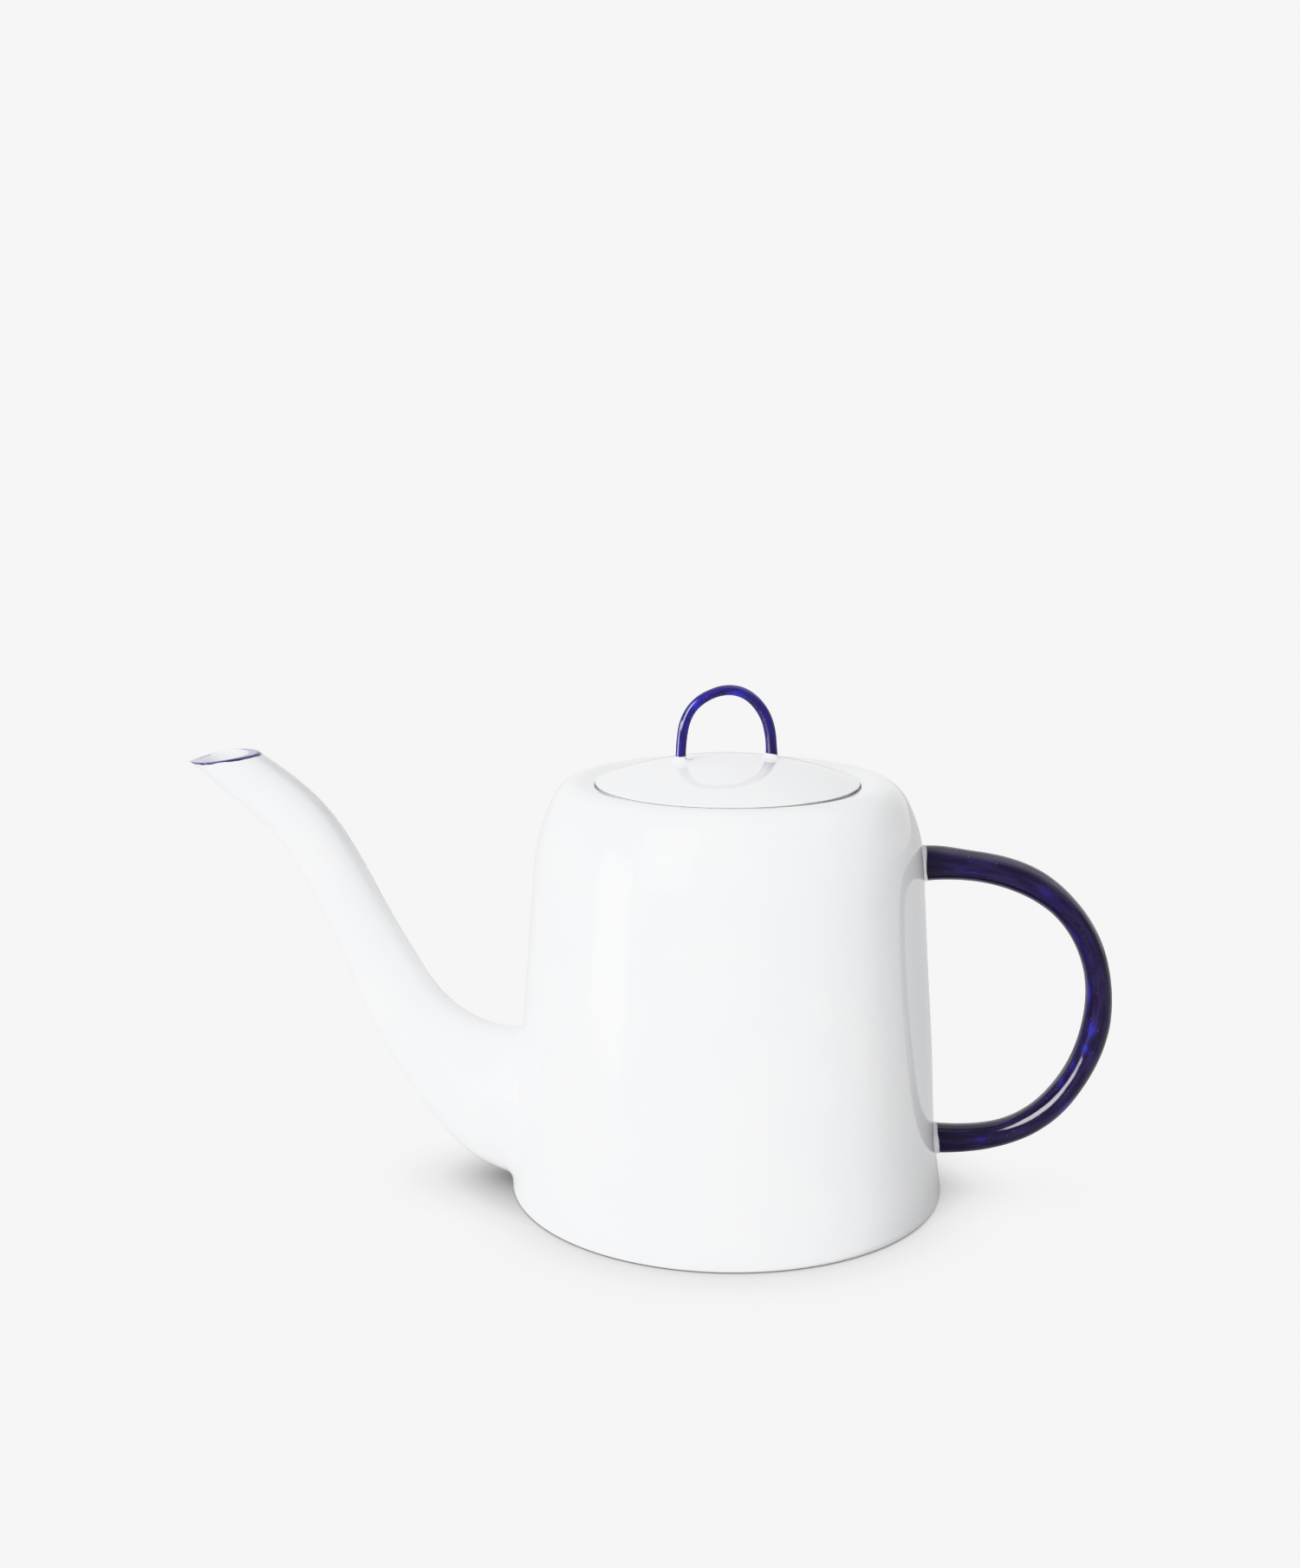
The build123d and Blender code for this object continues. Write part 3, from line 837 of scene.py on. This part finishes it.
def make_lid():
    vertices, faces = lathe(lid_outline(), 224)
    across = np.linalg.norm(vertices[:, :2], axis=1)
    on_dome = 1 - smoothstep(26, 33, across)
    vertices[:, 2] += 0.04 * ripple(vertices, 26.0, 8) * on_dome
    vertices[:, 0] += LID_PLAY
    return new_piece("lid_shell", vertices, faces, "lid", "white_porcelain", porcelain)


# ---------------------------------------------------------------- the lid's loop and its feet
LOOP_ALONG = np.array([math.cos(LOOP_TURN), math.sin(LOOP_TURN), 0])
LOOP_ACROSS = np.array([math.sin(LOOP_TURN), -math.cos(LOOP_TURN), 0])
UP = np.array([0, 0, 1])


def in_loop_plane(along, height):
    """Points in the loop's plane from their distance along it and their height."""
    return (np.array([LID_PLAY, 0, 0]) + np.asarray(along)[..., None] * LOOP_ALONG
            + np.asarray(height)[..., None] * UP)


def make_loop():
    columns, step = 48, 0.35
    line = np.array(LOOP_LINE)
    chord = np.concatenate([[0], np.cumsum(np.linalg.norm(np.diff(line, axis=0), axis=1))])
    run = np.arange(0, chord[-1], step)
    along, height = natural_spline(chord, line, run).T
    radius = natural_spline(chord, np.array(LOOP_RODS), run)
    slope = np.stack([np.gradient(along), np.gradient(height)], 1)
    slope /= np.linalg.norm(slope, axis=1)[:, None]
    out = -slope[:, 1:] * LOOP_ALONG + slope[:, :1] * UP
    turn = full_turn(columns)[None, :, None]
    section = np.cos(turn) * out[:, None] + np.sin(turn) * LOOP_ACROSS
    middle = in_loop_plane(along, height)[:, None]
    swell = 1 + 0.035 * ripple((middle + section * radius[:, None, None]).reshape(-1, 3), 4.0, 9)
    points = middle + section * radius[:, None, None] * swell.reshape(len(run), columns, 1)
    vertices, faces = skin(list(points), capped=True)
    flat = np.zeros((len(run), columns))
    rod = np.stack([flat + run[:, None], flat + radius[:, None] * np.cos(turn[..., 0]),
                    flat + radius[:, None] * np.sin(turn[..., 0])], 2)
    return new_piece("loop_rod", vertices, faces, "lid", "cobalt_glaze", loop_cobalt,
                     rod=rod.reshape(-1, 3))


def make_loop_foot(name, place, height, rod):
    """A small white cone of slip that fixes one end of the loop to the lid."""
    columns, spread = 48, LOOP_FOOT_SPREAD
    neck = rod + LOOP_FOOT_PROUD
    turn = full_turn(columns)
    ends = np.array([[spread, 0.02], [rod + 0.9, 0.1], [neck, 0.45 * height], [neck, height - 0.12]])
    profile = [np.array([spread + 0.5, -0.35]), *bezier(*ends, 10), np.array([rod + 0.05, height]),
               np.array([rod - 0.12, height]), np.array([rod - 0.3, -0.6])]
    rows, edge = [], []
    for i, (radius, rise) in enumerate(profile):
        ring = in_loop_plane(place + radius * np.cos(turn), np.zeros(columns))
        ring += radius * np.sin(turn)[:, None] * LOOP_ACROSS
        from_axis = np.hypot(ring[:, 0] - LID_PLAY, ring[:, 1])
        wave = 0.3 * ripple(np.stack([np.cos(turn), np.sin(turn), turn * 0 + place], 1), 0.9, 4)
        share = np.clip(rise / height, 0, 1)
        ring[:, 2] = lid_top(from_axis) + rise + wave * share ** 2
        rows.append(ring)
        edge.append(max(height - rise, 0) if i < len(profile) - 3 else 0)
    vertices, faces = skin(rows, closed=True)
    edge = np.repeat(edge, columns)
    return new_piece(name, vertices, faces, "lid", "white_slip", slip, edge=np.stack([edge, edge, edge], 1))


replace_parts(make_lid(), "lid")
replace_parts(make_loop(), "lid_loop")
for name, node, (place, height), rod in (
        ("loop_foot_spout_side", "loop_luting_spout_side", LOOP_FEET[0], LOOP_RODS[0]),
        ("loop_foot_handle_side", "loop_luting_handle_side", LOOP_FEET[1], LOOP_RODS[-1])):
    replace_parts(make_loop_foot(name, place, height, rod), node)


# ---------------------------------------------------------------- camera
CAMERA_SIDE = -22.2 * MM        # the camera stands this far to the left of the pot's axis
CAMERA_BACK = 507.2 * MM
CAMERA_HEIGHT = 213.6 * MM
CAMERA_PITCH = math.radians(10.64)
CAMERA_LENS, CAMERA_SENSOR = 42.0, 36.0
HANDLE_TURN = math.radians(4)   # the handle comes this far towards the camera

camera_data = bpy.data.cameras.new("camera")
camera_data.lens = CAMERA_LENS
camera_data.sensor_width = CAMERA_SENSOR
camera_data.clip_start = 0.01
camera_data.clip_end = 100
camera = bpy.data.objects.new("camera", camera_data)
bpy.context.scene.collection.objects.link(camera)
camera.location = (
    CAMERA_SIDE * math.cos(HANDLE_TURN) + CAMERA_BACK * math.sin(HANDLE_TURN),
    CAMERA_SIDE * math.sin(HANDLE_TURN) - CAMERA_BACK * math.cos(HANDLE_TURN),
    CAMERA_HEIGHT)
camera.rotation_euler = (math.pi / 2 - CAMERA_PITCH, 0, HANDLE_TURN)
bpy.context.scene.camera = camera
bpy.context.scene.view_settings.view_transform = "Khronos PBR Neutral"

# ---------------------------------------------------------------- studio: backdrop, softboxes, floor
BACKDROP = 1.295                # radiance of the pale backdrop and of the bare floor
ROOM = 0.7                      # radiance of the room on the camera's side, as the glaze mirrors it
MIRRORED_BACKDROP = 1.25        # radiance of the backdrop behind the pot, as the glaze mirrors it
# softboxes: degrees left of the camera's side, degrees above the horizon, half width, half height and
# soft edge as tangents, radiance
WINDOW = (38, 26, 0.26, 0.42, 0.08, 10.2)
REFLECTOR = (-90, 55, 0.5, 0.5, 0.2, 0.5)
SIDE_WINDOW = (68, -4, 0.20, 0.36, 0.04, 12.0)      # it shows in the glaze and lights nothing
SKY_DARK, SKY_BRIGHT = 0.0, 0.58    # radiance of the soft sky on its dark and on its bright side
SKY_TURN, SKY_LIFT = 45, 31     # the bright side: degrees left of the camera and above the horizon
PAPER_HALF = 20                 # half the paper floor's width, in metres
PAPER_DROP = 5e-5               # the paper lies this far below the foot ring, in metres
PAPER_FILL = 0.8                # share of its brightness with which the paper lights the pot
PAPER_MIRRORED = 0.6            # share of its brightness with which the glaze mirrors it
PAPER_TURN = 20                 # the mirrored paper ends on the side this many degrees left of the camera
PAPER_END = (0.18, 0.30)        # it fades out between these distances from the pot, in metres
CONTACT_REACH = 0.026           # how far the soft contact shadow under the pot spreads, in metres
CONTACT_DEPTH = 0.95            # how much of the floor's brightness it takes where it is deepest


def heading(left, up):
    """Unit vector from the pot: degrees left of the camera's side, degrees above the horizon."""
    left, up = math.radians(left), math.radians(up)
    return Vector((-math.sin(left) * math.cos(up), -math.cos(left) * math.cos(up), math.sin(up)))


def facing(tree, ray, direction):
    """Cosine between a ray and a direction."""
    node = tree.nodes.new("ShaderNodeVectorMath")
    node.operation = "DOT_PRODUCT"
    tree.links.new(ray, node.inputs[0])
    node.inputs[1].default_value = direction
    return node.outputs["Value"]


def softbox(tree, ray, left, up, half_width, half_height, edge, strength):
    """Radiance of a far rectangular light with soft edges; sizes are tangents of half angles."""
    ahead = heading(left, up)
    side = Vector((ahead.y, -ahead.x, 0)).normalized()
    front = facing(tree, ray, ahead)
    bounded = math_node(tree, "MAXIMUM", front, 0.01)
    light = math_node(tree, "MULTIPLY", math_node(tree, "GREATER_THAN", front, 0.01), strength)
    for axis, half in ((side, half_width), (side.cross(ahead), half_height)):
        offset = math_node(tree, "ABSOLUTE", math_node(tree, "DIVIDE", facing(tree, ray, axis), bounded))
        light = math_node(tree, "MULTIPLY", light, ranged(tree, offset, half - edge, half + edge, 1, 0))
    return light


def make_world():
    """The backdrop as the camera sees it, the room as the glaze mirrors it, the soft light for the rest."""
    world = bpy.data.worlds.new("studio")
    bpy.context.scene.world = world
    world.use_nodes = True
    tree = world.node_tree
    ray = tree.nodes.new("ShaderNodeTexCoord").outputs["Generated"]
    sky = math_node(tree, "MULTIPLY_ADD", facing(tree, ray, heading(SKY_TURN, SKY_LIFT)),
                    (SKY_BRIGHT - SKY_DARK) / 2, (SKY_BRIGHT + SKY_DARK) / 2)
    behind = facing(tree, ray, heading(180, 20))
    mirrored = ranged(tree, behind, 0.0, 0.4, ROOM, MIRRORED_BACKDROP)
    for box in WINDOW, REFLECTOR:
        light = softbox(tree, ray, *box)
        sky = math_node(tree, "ADD", sky, light)
        mirrored = math_node(tree, "ADD", mirrored, light)
    mirrored = math_node(tree, "ADD", mirrored, softbox(tree, ray, *SIDE_WINDOW))
    path = tree.nodes.new("ShaderNodeLightPath").outputs
    level = blended(tree, path["Is Glossy Ray"], sky, mirrored)
    level = blended(tree, path["Is Camera Ray"], level, BACKDROP)
    background = tree.nodes["Background"]
    tree.links.new(level, background.inputs["Strength"])
    background.inputs["Color"].default_value = (1, 1, 1, 1)


def make_paper():
    """A bright paper that darkens where the pot stands on it and, in the glaze, ends in front of the pot."""
    paper = bpy.data.materials.new("studio_paper")
    paper.use_nodes = True
    tree = paper.node_tree
    tree.nodes.remove(tree.nodes["Principled BSDF"])
    contact = tree.nodes.new("ShaderNodeAmbientOcclusion")
    contact.samples = 12
    contact.inputs["Distance"].default_value = CONTACT_REACH
    shade = math_node(tree, "MULTIPLY_ADD", contact.outputs["AO"], BACKDROP * CONTACT_DEPTH,
                      BACKDROP * (1 - CONTACT_DEPTH))
    path = tree.nodes.new("ShaderNodeLightPath").outputs
    fill = blended(tree, path["Is Camera Ray"], PAPER_FILL, 1.0)
    fill = blended(tree, path["Is Glossy Ray"], fill, PAPER_MIRRORED)
    glow = tree.nodes.new("ShaderNodeEmission")
    tree.links.new(math_node(tree, "MULTIPLY", shade, fill), glow.inputs["Strength"])
    spot = tree.nodes.new("ShaderNodeTexCoord").outputs["Object"]
    ended = ranged(tree, facing(tree, spot, heading(PAPER_TURN, 0)), *PAPER_END, 0, 1)
    ended = math_node(tree, "MULTIPLY", ended, path["Is Glossy Ray"])
    beyond = tree.nodes.new("ShaderNodeMixShader")
    tree.links.new(ended, beyond.inputs["Fac"])
    tree.links.new(glow.outputs[0], beyond.inputs[1])
    tree.links.new(tree.nodes.new("ShaderNodeBsdfTransparent").outputs[0], beyond.inputs[2])
    tree.links.new(beyond.outputs[0], tree.nodes["Material Output"].inputs["Surface"])
    return paper


def make_floor():
    corners = [(-PAPER_HALF, -PAPER_HALF), (PAPER_HALF, -PAPER_HALF),
               (PAPER_HALF, PAPER_HALF), (-PAPER_HALF, PAPER_HALF)]
    mesh = bpy.data.meshes.new("studio_floor")
    mesh.from_pydata([(x, y, -PAPER_DROP) for x, y in corners], [], [[0, 1, 2, 3]])
    mesh.materials.append(make_paper())
    floor = bpy.data.objects.new("studio_floor", mesh)
    bpy.context.scene.collection.objects.link(floor)
    return floor


make_world()
make_floor()
